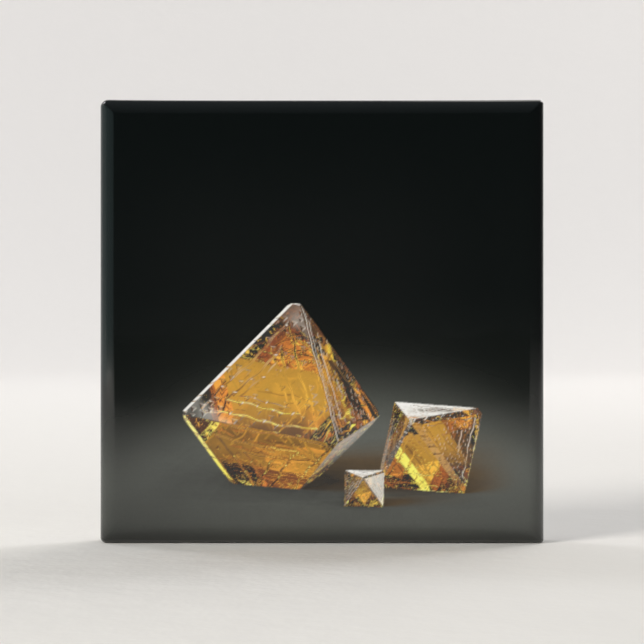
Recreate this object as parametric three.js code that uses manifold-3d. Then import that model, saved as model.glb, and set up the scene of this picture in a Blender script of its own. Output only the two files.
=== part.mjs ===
// A 2 inch square pin-back button badge, in millimetres.
// X runs to the right and Z up, as the badge is worn, and the printed face looks along -Y.
// The origin is the centre of the square, in the plane of the back rim that lies on the cloth.
import * as THREE from 'three';
import { mergeVertices } from 'three/addons/utils/BufferGeometryUtils.js';
import Module from 'manifold-3d';

const wasm = await Module();
wasm.setup();

// Driving dimensions
const side = 50.8; // across the finished badge
const depth = 5.0; // from the face to the back rim, without the pin
const cornerRadius = 0.9; // plan radius where the badge is widest
const smallestRadius = 0.3; // plan radius of the creased corners inside that
const sideHollow = 0.08; // how far the middle of each side draws in
const hollowPower = 4; // the sides stay straight and flare out near the corners
const steelThick = 0.3;
const paperThick = 0.12;
const filmThick = 0.07;
const layerGap = 0.02; // between neighbouring pieces
const facePressRadius = 1.3; // roll of the shell's middle surface from face to wall
const wallCurlRadius = 0.9; // curl of the shell's rear edge
const wallCurlAngle = 50; // degrees
const lipBelowRim = 0.15; // the wrapped edge stays this far in front of the back rim
const tuckDepth = 2.6; // the paper and film end this far in front of the back rim

const flangeClear = 0.04; // between the tucked sheets and the back plate's flange
const rimRollRadius = 0.75; // roll of the back plate's rim, middle surface
const rimLand = 1.2; // flat width of the rim that lies on the cloth
const plateCornerRadius = 1.0; // plan radius of the back plate at its flange
const plateCornerGrowth = 0.45; // the radius grows by this for each millimetre further in
const panelSlope = 0.9; // width of the slope from the rim down to the panel
const panelRecess = 0.9; // the panel lies this far in front of the rim
const ribInset = 6.6; // the middle of the stiffening rib round the panel
const ribFoot = 1.6; // its width at the foot
const ribTop = 0.8; // and along its top
const ribHeight = 0.3;
const panelStart = 8.2; // inside this inset the panel is plain and flat
const flangeEnd = 2.4; // the flange reaches this far in front of the rim

const spare = 1; // a cutting body runs this far past what it cuts

const barLength = 32;
const barWidth = 5.0;
const barThick = 0.5;
const barHeight = 7.0; // the bar's middle line lies this far above the badge's centre
const barHoleRadius = 0.8;
const barHoleSpacing = 9.0;
const stemAboveBar = 1.75; // the pin's axis stands this far off the bar
const stemRadius = 0.45;
const stemPoint = 3.6; // length of the sharpened end
const pointShoulder = 1.4; // the last stretch of it, where the point gets steeper
const shoulderRadius = 0.28;
const stemSpan = 27.0; // from the rivet's axis to the point
const eyeRadius = 1.15;
const eyeThick = 0.9;
const eyeClear = 0.05; // running clearance of the eye on the rivet
const rivetRadius = 0.5;
const rivetHeadRadius = 0.95;
const rivetHeadHeight = 0.4;
const earThick = 0.5;
const earLength = 2.9;
const earGap = 1.2; // between the two ears
const earOver = 1.25; // the ears reach this far past the rivet's axis
const hingeX = 12.6; // the rivet's axis
const housingLength = 2.8;
const housingRadius = 1.55;
const housingBore = 1.06;
const footWidth = 2.5; // the housing's foot on the bar
const housingX = -11.4; // the middle of the housing
const slotWidth = 1.2; // the pin passes through it
const sleeveRadius = 1.0;
const sleeveBore = 0.62;
const collarRadius = 1.42;
const collarLength = 0.55;
const collarClear = 0.06; // end play of the sleeve in the housing
const tabRoot = 0.9; // the thumb tab starts inside the collar, this far from the pin's axis
const tabReach = 3.0; // and ends this far from it
const tabWidth = 1.5;
const tabTilt = 90; // degrees from the slot to the tab, seen along +X

// Pieces per curve
const cornerSteps = 4;
const sideSteps = 4;
const pressSteps = 5;
const curlSteps = 2;
const turnSteps = 4;
const rimSteps = 3;
const roundSides = 20;
const needleSides = 12;
const endSteps = 6; // round each end of the bar, and round each ear's top
const domeSteps = 3;

const halfSide = side / 2;
const stackHalf = steelThick / 2 + 2 * layerGap + paperThick + filmThick;
const faceMiddle = -depth + stackHalf;
const curl = THREE.MathUtils.degToRad(wallCurlAngle);
const curlStart = -lipBelowRim - stackHalf - wallCurlRadius * Math.sin(curl);

const materials = {
  film: new THREE.MeshStandardMaterial({ color: 0x22262a, roughness: 0.18, metalness: 0 }),
  paper: new THREE.MeshStandardMaterial({ color: 0x3c3b38, roughness: 0.6, metalness: 0 }),
  tinplate: new THREE.MeshStandardMaterial({ color: 0xb9babb, roughness: 0.32, metalness: 1 }),
  nickel: new THREE.MeshStandardMaterial({ color: 0xc6c3bc, roughness: 0.22, metalness: 1 }),
  pin: new THREE.MeshStandardMaterial({ color: 0xcfd0d2, roughness: 0.16, metalness: 1 }),
};

// The corner radius at an inset, for the shell with its sheets and for the back plate.
const shellCorner = (inset) => Math.max(cornerRadius - inset, smallestRadius);
const plateCorner = (inset) => plateCornerRadius + plateCornerGrowth * (inset - 2 * stackHalf);

// The points [x, z] of the badge's plan at an inset from its widest outline.
function ringAt(inset, radius) {
  const half = halfSide - inset;
  const straight = half - radius;
  const points = [];
  for (let quarter = 0; quarter < 4; quarter += 1) {
    const turn = quarter * Math.PI / 2;
    const add = (x, z) => {
      points.push([x * Math.cos(turn) - z * Math.sin(turn), x * Math.sin(turn) + z * Math.cos(turn)]);
    };
    for (let i = 1; i < sideSteps; i += 1) {
      const along = -1 + 2 * i / sideSteps;
      add(half - sideHollow * (1 - along ** hollowPower), straight * along);
    }
    for (let i = 0; i <= cornerSteps; i += 1) {
      const angle = i / cornerSteps * Math.PI / 2;
      add(straight + radius * Math.cos(angle), straight + radius * Math.sin(angle));
    }
  }
  return points;
}

// A closed body from a profile of [inset, y] points that runs from the middle of one flat face,
// round the edge, to the middle of the other face.
function pressedBody(profile, cornerAt) {
  const rings = profile.map(([inset]) => ringAt(inset, cornerAt(inset)));
  const count = rings[0].length;
  const positions = [];
  const index = [];
  rings.forEach((ring, i) => ring.forEach(([x, z]) => positions.push(x, profile[i][1], z)));
  for (let i = 0; i + 1 < rings.length; i += 1) {
    for (let k = 0; k < count; k += 1) {
      const next = (k + 1) % count;
      const a = i * count + k;
      const b = i * count + next;
      const c = (i + 1) * count + k;
      const d = (i + 1) * count + next;
      index.push(a, c, b, b, c, d);
    }
  }
  const firstCentre = positions.length / 3;
  positions.push(0, profile[0][1], 0);
  positions.push(0, profile[profile.length - 1][1], 0);
  const lastRing = (rings.length - 1) * count;
  for (let k = 0; k < count; k += 1) {
    const next = (k + 1) % count;
    index.push(firstCentre, k, next);
    index.push(firstCentre + 1, lastRing + next, lastRing + k);
  }
  return outward(geometryFrom(positions, index));
}

function geometryFrom(positions, index) {
  const geometry = new THREE.BufferGeometry();
  geometry.setAttribute('position', new THREE.Float32BufferAttribute(positions, 3));
  geometry.setIndex(index);
  return geometry;
}

// Turns the faces over where the signed volume is negative.
function outward(geometry) {
  const place = geometry.getAttribute('position');
  const index = Array.from(geometry.getIndex().array);
  const corner = [new THREE.Vector3(), new THREE.Vector3(), new THREE.Vector3()];
  let volume = 0;
  for (let i = 0; i < index.length; i += 3) {
    corner.forEach((point, k) => point.fromBufferAttribute(place, index[i + k]));
    volume += corner[0].dot(corner[1].clone().cross(corner[2]));
  }
  if (volume < 0) {
    for (let i = 0; i < index.length; i += 3) {
      [index[i], index[i + 1]] = [index[i + 1], index[i]];
    }
    geometry.setIndex(index);
  }
  geometry.computeVertexNormals();
  return geometry;
}

// A line at a distance to the left of a line of [inset, y] points, with mitred corners.
function offsetLine(line, distance) {
  const normals = line.slice(1).map(([inset, y], i) => {
    const step = new THREE.Vector2(inset - line[i][0], y - line[i][1]).normalize();
    return new THREE.Vector2(step.y, -step.x);
  });
  return line.map(([inset, y], i) => {
    const before = normals[Math.max(i - 1, 0)];
    const after = normals[Math.min(i, normals.length - 1)];
    const middle = before.clone().add(after).normalize();
    const reach = distance / middle.dot(before);
    return [inset + middle.x * reach, y + middle.y * reach];
  });
}

function arc(centre, radius, from, to, steps) {
  const points = [];
  for (let i = 0; i <= steps; i += 1) {
    const angle = THREE.MathUtils.degToRad(from + (to - from) * i / steps);
    points.push([centre[0] + radius * Math.cos(angle), centre[1] + radius * Math.sin(angle)]);
  }
  return points;
}

// The middle surface of the shell: flat face, roll, wall and curled rear edge.
function shellLine() {
  const pressCentre = [stackHalf + facePressRadius, faceMiddle + facePressRadius];
  const curlCentre = [stackHalf + wallCurlRadius, curlStart];
  return [
    [pressCentre[0] + facePressRadius, faceMiddle],
    ...arc(pressCentre, facePressRadius, 270, 180, pressSteps),
    ...arc(curlCentre, wallCurlRadius, 180, 180 - wallCurlAngle, curlSteps),
  ];
}

// The same line cut where the tucked sheets end inside the wall.
function tuckLine(line) {
  const start = line.findIndex(([, y]) => y > -tuckDepth);
  return [[line[start][0], -tuckDepth], ...line.slice(start)];
}

function makeShell() {
  const line = shellLine();
  const outside = offsetLine(line, -steelThick / 2);
  const inside = offsetLine(line, steelThick / 2).reverse();
  return pressedBody([...outside, ...inside], shellCorner);
}

// A thin sheet between two distances from the shell's middle surface. It follows the shell's
// outside, turns round its rear edge and runs back along the inside to the end of the tuck.
function makeSheet(near, far) {
  const line = shellLine();
  const inner = tuckLine(line);
  const end = line[line.length - 1];
  const normal = 180 - wallCurlAngle;
  const surface = (distance) => {
    const turn = arc(end, distance, normal, normal - 180, turnSteps);
    return [
      ...offsetLine(line, -distance).slice(0, -1),
      ...turn,
      ...offsetLine(inner, distance).slice(0, -1).reverse(),
    ];
  };
  return pressedBody([...surface(far), ...surface(near).reverse()], shellCorner);
}

function makeBackPlate() {
  const flange = 2 * stackHalf + wallCurlRadius * (1 - Math.cos(curl)) + flangeClear + steelThick / 2;
  const rimY = -steelThick / 2;
  const panelY = -panelRecess - steelThick / 2;
  const landStart = flange + rimRollRadius;
  const landEnd = landStart + rimLand;
  const line = [
    [panelStart, panelY],
    [ribInset + ribFoot / 2, panelY],
    [ribInset + ribTop / 2, panelY + ribHeight],
    [ribInset - ribTop / 2, panelY + ribHeight],
    [ribInset - ribFoot / 2, panelY],
    [landEnd + panelSlope, panelY],
    [landEnd, rimY],
    ...arc([landStart, rimY - rimRollRadius], rimRollRadius, 90, 180, rimSteps),
    [flange, -flangeEnd],
  ];
  const back = offsetLine(line, steelThick / 2);
  const front = offsetLine(line, -steelThick / 2).reverse();
  return pressedBody([...back, ...front], plateCorner);
}

// Solids for joining and cutting
function solid(geometry) {
  const bare = geometry.clone();
  bare.deleteAttribute('normal');
  bare.deleteAttribute('uv');
  const merged = mergeVertices(bare, 1e-5);
  return new wasm.Manifold(new wasm.Mesh({
    numProp: 3,
    vertProperties: new Float32Array(merged.getAttribute('position').array),
    triVerts: new Uint32Array(merged.getIndex().array),
  }));
}

function geometryOf(manifold) {
  const mesh = manifold.getMesh();
  return outward(geometryFrom(Array.from(mesh.vertProperties), Array.from(mesh.triVerts)));
}

function extruded(shape, length, curveSegments = roundSides) {
  return new THREE.ExtrudeGeometry(shape, { depth: length, bevelEnabled: false, curveSegments });
}

// A regular polygon whose corners, or whose flats for a hole, lie at the radius.
function polygon(PathType, radius, flats = false) {
  const reach = flats ? radius / Math.cos(Math.PI / roundSides) : radius;
  const path = new PathType();
  for (let i = 0; i < roundSides; i += 1) {
    const angle = (i + 0.5) / roundSides * Math.PI * 2;
    const point = [reach * Math.cos(angle), reach * Math.sin(angle)];
    if (i === 0) {
      path.moveTo(...point);
    } else {
      path.lineTo(...point);
    }
  }
  path.closePath();
  return path;
}

function disc(radius) {
  return polygon(THREE.Shape, radius);
}

function block(x0, x1, y0, y1, z0, z1) {
  const box = new THREE.BoxGeometry(x1 - x0, y1 - y0, z1 - z0);
  return box.translate((x0 + x1) / 2, (y0 + y1) / 2, (z0 + z1) / 2);
}

// Lays a length extruded along Z along X instead, from a start. The shape's up stays +Y.
function alongX(geometry, start) {
  return geometry.rotateY(Math.PI / 2).translate(start, 0, 0);
}

// The pin's parts are made round the pin's own axis: X along the pin, Y off the cloth side.
const barTop = -stemAboveBar; // the bar's rear surface
const barBottom = barTop - barThick;
const pinAxisY = -panelRecess + layerGap + barThick + stemAboveBar;

// The bar plate, with round ends and two holes, and its ears and housing.
function makePinBar() {
  const end = barWidth / 2;
  const reach = barLength / 2 - end;
  const outline = new THREE.Shape();
  outline.absarc(reach, 0, end, -Math.PI / 2, Math.PI / 2, false);
  outline.absarc(-reach, 0, end, Math.PI / 2, Math.PI * 3 / 2, false);
  outline.closePath();
  for (const x of [-barHoleSpacing / 2, barHoleSpacing / 2]) {
    const hole = new THREE.Path();
    hole.absarc(x, 0, barHoleRadius, 0, Math.PI * 2, true);
    outline.holes.push(hole);
  }
  const plate = extruded(outline, barThick, endSteps).rotateX(-Math.PI / 2).translate(0, barBottom, 0);
  let bar = solid(plate);
  bar = bar.add(solid(makeHousing()));
  for (const sign of [-1, 1]) {
    bar = bar.add(makeEar(sign));
  }
  return geometryOf(bar);
}

// One ear, square at the foot and round at the top, with the rivet's hole.
function makeEar(sign) {
  const shape = new THREE.Shape();
  const round = earLength / 2;
  const crown = earOver - round;
  shape.moveTo(-round, barTop - barThick / 2);
  shape.lineTo(round, barTop - barThick / 2);
  shape.absarc(0, crown, round, 0, Math.PI, false);
  shape.closePath();
  shape.holes.push(polygon(THREE.Path, rivetRadius + layerGap, true));
  const start = sign > 0 ? earGap / 2 : -earGap / 2 - earThick;
  return solid(extruded(shape, earThick, endSteps).translate(hingeX, 0, start));
}

// The catch housing: a tube round the pin's axis with a foot, open along its top.
function makeHousing() {
  const start = housingX - housingLength / 2;
  const end = start + housingLength;
  const barrel = solid(alongX(extruded(disc(housingRadius), housingLength), start));
  const foot = solid(block(start, end, barTop - barThick / 2, 0, -footWidth / 2, footWidth / 2));
  const bore = polygon(THREE.Shape, housingBore, true);
  const hole = solid(alongX(extruded(bore, housingLength + 2 * spare), start - spare));
  const slot = solid(block(start - spare, end + spare, 0, 2 * housingRadius, -slotWidth / 2, slotWidth / 2));
  return geometryOf(barrel.add(foot).subtract(hole).subtract(slot));
}

// The slotted sleeve: a drum that turns in the housing, a collar at each end and a thumb tab.
function makeCatchSleeve() {
  const start = housingX - housingLength / 2 - collarClear;
  const end = housingX + housingLength / 2 + collarClear;
  const drumLength = end - start + collarLength; // half a collar's length into each collar
  const drum = solid(alongX(extruded(disc(sleeveRadius), drumLength), start - collarLength / 2));
  const collar = (x) => solid(alongX(extruded(disc(collarRadius), collarLength), x));
  const outline = new THREE.Shape();
  const tabEnd = tabReach - tabWidth / 2;
  outline.moveTo(-tabWidth / 2, tabRoot);
  outline.lineTo(tabWidth / 2, tabRoot);
  outline.absarc(0, tabEnd, tabWidth / 2, 0, Math.PI, false);
  outline.closePath();
  const tabPlate = alongX(extruded(outline, collarLength, endSteps), start - collarLength);
  const tab = solid(tabPlate.rotateX(-THREE.MathUtils.degToRad(tabTilt)));
  const full = end - start + 2 * collarLength + 2 * spare;
  const bore = polygon(THREE.Shape, sleeveBore, true);
  const hole = solid(alongX(extruded(bore, full), start - collarLength - spare));
  const slot = solid(block(
    start - collarLength - spare, end + collarLength + spare,
    0, 2 * collarRadius,
    -slotWidth / 2, slotWidth / 2,
  ));
  const body = drum.add(collar(start - collarLength)).add(collar(end)).add(tab);
  return geometryOf(body.subtract(hole).subtract(slot));
}

// The pin: a needle from the eye to a sharpened point, and the eye ring on the rivet.
function makePinStem() {
  const profile = [
    new THREE.Vector2(0, 0),
    new THREE.Vector2(stemRadius, 0),
    new THREE.Vector2(stemRadius, stemSpan - stemPoint),
    new THREE.Vector2(shoulderRadius, stemSpan - pointShoulder),
    new THREE.Vector2(0, stemSpan),
  ];
  const needle = new THREE.LatheGeometry(profile, needleSides).rotateZ(Math.PI / 2);
  const eye = extruded(disc(eyeRadius), eyeThick).translate(hingeX, 0, -eyeThick / 2);
  const bore = polygon(THREE.Shape, rivetRadius + eyeClear, true);
  const hole = extruded(bore, eyeThick + 2 * spare).translate(hingeX, 0, -eyeThick / 2 - spare);
  const joined = solid(needle.translate(hingeX, 0, 0)).add(solid(eye));
  return geometryOf(joined.subtract(solid(hole)));
}

// The rivet: a shank with a domed head outside each ear.
function makeRivet() {
  const half = earGap / 2 + earThick + layerGap;
  const dome = [];
  for (let i = 0; i <= domeSteps; i += 1) {
    const angle = i / domeSteps * Math.PI / 2;
    dome.push(new THREE.Vector2(
      i === domeSteps ? 0 : rivetHeadRadius * Math.cos(angle),
      half + rivetHeadHeight * Math.sin(angle),
    ));
  }
  const upper = [new THREE.Vector2(rivetRadius, 0), new THREE.Vector2(rivetRadius, half), ...dome];
  const lower = upper.slice(1).reverse().map((point) => new THREE.Vector2(point.x, -point.y));
  return new THREE.LatheGeometry([...lower, ...upper.slice(1)], roundSides);
}

function piece(name, geometry, material) {
  const mesh = new THREE.Mesh(geometry, material);
  mesh.name = name;
  return mesh;
}

const paperNear = steelThick / 2 + layerGap;
const filmNear = paperNear + paperThick + layerGap;

const badge = new THREE.Group();
badge.add(piece('film', makeSheet(filmNear, filmNear + filmThick), materials.film));
badge.add(piece('print_sheet', makeSheet(paperNear, paperNear + paperThick), materials.paper));
badge.add(piece('shell', makeShell(), materials.tinplate));
badge.add(piece('back_plate', makeBackPlate(), materials.tinplate));

const pinUnit = new THREE.Group();
pinUnit.position.set(0, pinAxisY, barHeight);
pinUnit.add(piece('pin_bar', makePinBar(), materials.nickel));
const rivet = piece('hinge_rivet', makeRivet(), materials.nickel);
rivet.position.set(hingeX, 0, 0);
rivet.rotation.x = Math.PI / 2;
pinUnit.add(rivet);
pinUnit.add(piece('pin_stem', makePinStem(), materials.pin));
pinUnit.add(piece('catch_sleeve', makeCatchSleeve(), materials.nickel));
badge.add(pinUnit);

export default badge;
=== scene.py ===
import math
import bmesh
import bpy
import numpy as np
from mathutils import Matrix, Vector


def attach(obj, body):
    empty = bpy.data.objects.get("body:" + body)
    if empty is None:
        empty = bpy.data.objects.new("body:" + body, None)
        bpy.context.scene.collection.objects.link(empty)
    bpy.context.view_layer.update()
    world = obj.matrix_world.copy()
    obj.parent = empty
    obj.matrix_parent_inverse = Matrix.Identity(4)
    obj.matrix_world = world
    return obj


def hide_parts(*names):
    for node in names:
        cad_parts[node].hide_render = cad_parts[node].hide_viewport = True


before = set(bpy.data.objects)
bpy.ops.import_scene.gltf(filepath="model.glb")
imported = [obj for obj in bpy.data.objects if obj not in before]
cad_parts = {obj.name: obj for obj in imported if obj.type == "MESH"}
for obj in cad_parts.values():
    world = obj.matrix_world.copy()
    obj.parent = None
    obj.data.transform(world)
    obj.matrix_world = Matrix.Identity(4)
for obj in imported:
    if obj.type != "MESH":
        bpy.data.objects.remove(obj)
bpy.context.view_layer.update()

# Shapes and pattern sizes are in millimetres, and the helpers below turn them to metres.
mm = 0.001

# A ray along a plane and a line along an axis divide by zero, and that result isn't used.
np.seterr(divide="ignore", invalid="ignore")


class Values:
    # named numbers, each read as an attribute
    def __init__(self, **values):
        for name, value in values.items():
            setattr(self, name, value)


def linear(hexColour):
    # sRGB to linear: a short straight toe, then a power of 2.4
    s = np.array([int(hexColour[i:i + 2], 16) for i in (1, 3, 5)]) / 255
    return np.where(s <= 0.04045, s / 12.92, ((s + 0.055) / 1.055) ** 2.4)


def rgba(hexColour):
    # the linear colour with a full alpha after it
    return [*linear(hexColour), 1]


def smooth(low, high, x):
    # 0 below low, 1 above high, and 3s^2 - 2s^3 between
    s = np.clip((x - low) / (high - low), 0, 1)
    return s * s * (3 - 2 * s)


def unit(v):
    # each vector divided by its own length
    return v / np.linalg.norm(v, axis=-1, keepdims=True)


def gridFaces(rows, columns, closed=False, start=0):
    # the quads between neighbouring rows of a grid whose points are numbered row by row
    i = np.arange(rows - 1)[:, None] * columns
    j = np.arange(columns if closed else columns - 1)
    k = (j + 1) % columns
    quads = np.stack([i + j, i + k, i + columns + k, i + columns + j], -1)
    return (start + quads.reshape(-1, 4)).tolist()


def joined(first, second, closed=False):
    # the quads between two rows of point numbers
    quads = np.c_[first, np.roll(first, -1), np.roll(second, -1), second]
    return quads[:len(quads) if closed else -1].tolist()


def putObject(name, data):
    # a new object with this data, linked to the scene
    made = bpy.data.objects.new(name, data)
    bpy.context.scene.collection.objects.link(made)
    return made


def putMesh(name, points, faces, merge=0.0, sharp=None):
    # points in millimetres, faces as lists of corner numbers; the faces end up outwards
    mesh = bpy.data.meshes.new(name)
    mesh.from_pydata((np.reshape(points, (-1, 3)) * mm).tolist(), [], faces)
    work = bmesh.new()
    work.from_mesh(mesh)
    if merge:
        bmesh.ops.remove_doubles(work, verts=work.verts, dist=merge * mm)
    bmesh.ops.recalc_face_normals(work, faces=work.faces)
    work.to_mesh(mesh)
    work.free()
    mesh.shade_smooth()
    if sharp:
        mesh.set_sharp_from_angle(angle=math.radians(sharp))
    return putObject(name, mesh)


def bevel(piece, width, angle=35, segments=3):
    # rounds each edge where the surface turns by more than the angle, over this width
    change = piece.modifiers.new("edges", "BEVEL")
    change.width = width * mm
    change.segments = segments
    change.limit_method = "ANGLE"
    change.angle_limit = math.radians(angle)
    change.harden_normals = True
    return piece


def dress(piece, body, slot, material, *nodes):
    # gives the piece its material, the body that it rides and the solids that it stands for
    piece.data.materials.append(material)
    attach(piece, body)
    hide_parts(*nodes)


def node(tree, kind, inputs=None, **settings):
    # one node with its settings, and each input either a value or a link from another socket
    made = tree.nodes.new(kind)
    for name, value in settings.items():
        setattr(made, name, value)
    for name, value in (inputs or {}).items():
        if isinstance(value, bpy.types.NodeSocket):
            tree.links.new(value, made.inputs[name])
        else:
            made.inputs[name].default_value = value
    return made


def newMaterial(name, recipe, *values):
    # one Principled shader, whose inputs the recipe works out from the object's own coordinates
    material = bpy.data.materials.new(name)
    material.use_nodes = True
    tree = material.node_tree
    tree.nodes.clear()
    where = node(tree, "ShaderNodeTexCoord").outputs["Object"]
    shader = node(tree, "ShaderNodeBsdfPrincipled", recipe(tree, where, *values))
    node(tree, "ShaderNodeOutputMaterial", {"Surface": shader.outputs[0]})
    return material


def noise(tree, where, size, detail, roughness=0.5):
    # a noise pattern whose clumps are this many millimetres across: scale is 1 / size
    inputs = {"Vector": where, "Scale": 1 / (size * mm), "Detail": detail, "Roughness": roughness}
    return node(tree, "ShaderNodeTexNoise", inputs).outputs["Fac"]


def drawnNoise(tree, where, length, width):
    # noise drawn out along x: clumps 1 unit across, once x is divided by the length, y and z by
    # the width
    scale = (1 / (length * mm), 1 / (width * mm), 1 / (width * mm))
    drawn = node(tree, "ShaderNodeMapping", {"Vector": where, "Scale": scale}).outputs[0]
    return noise(tree, drawn, 1 / mm, 2)


def remap(tree, value, before, after=(0, 1), how="LINEAR"):
    # carries a value from the range before to the range after, and holds it at their ends
    inputs = dict(enumerate((value, *before, *after)))
    return node(tree, "ShaderNodeMapRange", inputs, interpolation_type=how).outputs[0]


def calculated(tree, operation, *values):
    # the result of one sum on one or two values
    return node(tree, "ShaderNodeMath", dict(enumerate(values)), operation=operation).outputs[0]


def blended(tree, share, first, second, how="MIX"):
    # the colour that lies this share of the way from the first to the second
    inputs = {0: share, 6: first, 7: second}
    return node(tree, "ShaderNodeMix", inputs, data_type="RGBA", blend_type=how).outputs[2]


def relief(tree, height, depth, strength=1.0, under=None):
    # the normal tilted by the slope of height * depth, on top of the relief that lies under it
    inputs = {"Height": height, "Strength": strength, "Distance": depth * mm}
    if under:
        inputs["Normal"] = under
    return node(tree, "ShaderNodeBump", inputs).outputs[0]


# Camera: square to the face, far enough off for little perspective. The frame's width is seen
# at the depth where the badge is widest.
view = Values(lens=100, sensor=36, frameWidth=73.88, widestY=-3.32, height=-0.085, near=10)
camera = putObject("camera", bpy.data.cameras.new("camera"))
camera.data.lens = view.lens
camera.data.sensor_width = view.sensor
camera.data.clip_start = view.near * mm
cameraAway = view.frameWidth * view.lens / view.sensor
camera.location = (0, (view.widestY - cameraAway) * mm, view.height * mm)
camera.rotation_euler = (math.radians(90), 0, 0)
bpy.context.scene.camera = camera

# Stage: a matt white paper sweep. The floor is flat in front and to the right, and curves up
# behind and to the left. The rises give the directions, in degrees from +X, over which the
# sweep starts and ends.
stage = Values(
    floor=-25.4, flat=700, bend=500, wall=1500, reach=3000, riseStarts=(5, 60), riseEnds=(190, 214),
    rays=128, flatRings=20, bendRings=21, wallRings=20,
    card=(-90, -420), cardSlant=(-0.5, -0.28), paper="#e7e5e1", grey="#2a2a2a",
    roughness=0.9, gloss=0.2, tooth=18, toothDepth=1.2, toothStrength=0.35,
)


# Uncoated background paper: matt, with a faint tooth that softens the shadows' edges. A grey
# card lies on the floor in front, from card[0] to card[1] and inside a narrow wedge, so that
# the glossy face has something dark to mirror.
def backgroundPaper(tree, where):
    g = stage
    axes = node(tree, "ShaderNodeSeparateXYZ", {0: where}).outputs
    front = remap(tree, axes["Y"], [end * mm for end in g.card], how="SMOOTHSTEP")
    slant = calculated(tree, "DIVIDE", calculated(tree, "ABSOLUTE", axes["X"]), axes["Y"])
    within = remap(tree, slant, g.cardSlant, how="SMOOTHSTEP")
    card = calculated(tree, "MULTIPLY", front, within)
    tooth = noise(tree, where, g.tooth, 5, 0.6)
    return {
        "Base Color": blended(tree, card, rgba(g.paper), rgba(g.grey)),
        "Normal": relief(tree, tooth, g.toothDepth, g.toothStrength),
        "Roughness": g.roughness,
        "Specular IOR Level": g.gloss,
    }


def makeStage():
    # A disc of rays and rings. Along a ray the floor runs flat, then follows a quarter circle
    # and a straight wall, and the share of that rise depends on the ray's direction.
    g = stage
    turn = np.linspace(0, 2 * np.pi, g.rays + 1)[:-1]
    s = np.linspace(0, 1, g.flatRings + g.bendRings + g.wallRings)
    flat = s[:g.flatRings] / s[g.flatRings - 1] * g.flat
    arc = np.linspace(0, np.pi / 2, g.bendRings + 1)[1:]
    climb = np.linspace(0, g.wall, g.wallRings + 1)[1:]
    far = g.flat + g.bend
    sweepAway = np.r_[flat, g.flat + g.bend * np.sin(arc), far + 0 * climb]
    sweepUp = np.r_[0 * flat, g.bend * (1 - np.cos(arc)), g.bend + climb]
    degrees = np.degrees(turn)
    share = smooth(*g.riseStarts, degrees) * (1 - smooth(*g.riseEnds, degrees))
    away = (s * g.reach)[:, None] * (1 - share) + sweepAway[:, None] * share
    up = g.floor + sweepUp[:, None] * share
    points = np.stack([away * np.cos(turn), away * np.sin(turn), up + 0 * away], -1)
    floor = putMesh("sweep", points, gridFaces(len(s), len(turn), closed=True), merge=0.01)
    if floor.data.polygons[0].normal.z < 0:
        floor.data.flip_normals()
    floor.data.materials.append(newMaterial("matt_background_paper", backgroundPaper))


makeStage()

# Soft studio light: place, aim and size in metres, spread in degrees, power in watts.
# Unless it says otherwise, a lamp aims at the badge, spreads 120 degrees and is seen in mirror
# images. The key and the fill are kept out of them, so that they leave no hard spots on the
# rolled corners. Two more light the backdrop.
lights = dict(
    key=dict(place=(-0.72, -0.58, 0.36), size=(0.4, 0.4), power=4.05, colour="#fffaf4", mirrored=False),
    fill=dict(place=(0.55, -0.75, 0.5), size=(0.8, 0.8), power=0.8, colour="#ffffff", mirrored=False),
    left=dict(place=(-0.5, -0.13, 0.05), size=(1.3, 0.6), spread=140, power=0.6, colour="#dcffff"),
    top=dict(place=(0, -0.13, 0.5), size=(1, 1.3), power=0.3, colour="#ecf6ff"),
    rear=dict(place=(0.45, 0.55, 0.6), size=(0.7, 0.7), power=1.28, colour="#fffaf4"),
)
backdrop = dict(aim=(0, 1.1, 0.1), size=(0.4, 0.4), spread=180, power=3.6, colour="#fbfaff")
lights["wallLeft"] = dict(place=(-0.6, 0.45, 0.7), **backdrop)
lights["wallRight"] = dict(place=(0.6, 0.45, 0.7), **backdrop)
room = Values(colour="#c9cdd2", strength=0.1)


def makeLights():
    # each lamp is a rectangle whose -Z looks from its place to its aim
    for name, lamp in lights.items():
        data = bpy.data.lights.new(name, "AREA")
        data.shape = "RECTANGLE"
        data.size, data.size_y = lamp["size"]
        data.energy = lamp["power"]
        data.spread = math.radians(lamp.get("spread", 120))
        data.color = linear(lamp["colour"])
        light = putObject(name, data)
        light.location = lamp["place"]
        aim = Vector(lamp.get("aim", (0, 0, 0)))
        light.rotation_euler = (aim - light.location).to_track_quat("-Z", "Y").to_euler()
        light.visible_glossy = lamp.get("mirrored", True)
    world = bpy.data.worlds.new("room")
    bpy.context.scene.world = world
    world.use_nodes = True
    background = world.node_tree.nodes["Background"]
    background.inputs["Color"].default_value = rgba(room.colour)
    background.inputs["Strength"].default_value = room.strength
    bpy.context.scene.view_settings.view_transform = "Standard"


makeLights()
print("camera, stage and lights are in place")

# The printed picture: three amber crystals of octahedral habit on a grey ground, in front of
# near-black. It is worked out by following light through each crystal. The picture's own axes
# are u to the right and v up on the face, in millimetres. Outside and inside give the height
# of the growth steps and of the swell, for the first reflection and for the way through.
picture = Values(
    tilt=12, horizon=-18, away=80, rays=3, exposure=3.8,
    ior=2.3, surfaceGloss=0.5, glossTint=(1.0, 0.96, 0.88), amber=(0.94, 0.50, 0.05), amberDepth=8.0,
    bounces=6, longest=60, laterRelief=0.45, leastTurnBack=0.02,
    outside=(0.30, 0.045), inside=(0.14, 0.025),
)
tilt = math.radians(picture.tilt)
look = np.array([0, math.cos(tilt), -math.sin(tilt)])
upward = np.array([0, math.sin(tilt), math.cos(tilt)])
amber = -np.log(picture.amber) / picture.amberDepth
# The inks run into each other a little, so deep amber prints as gold-brown and not as red.
inkMix = np.array([[0.95, 0.17, 0.015], [0.05, 0.85, 0.02], [0, 0, 0.97]])


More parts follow.
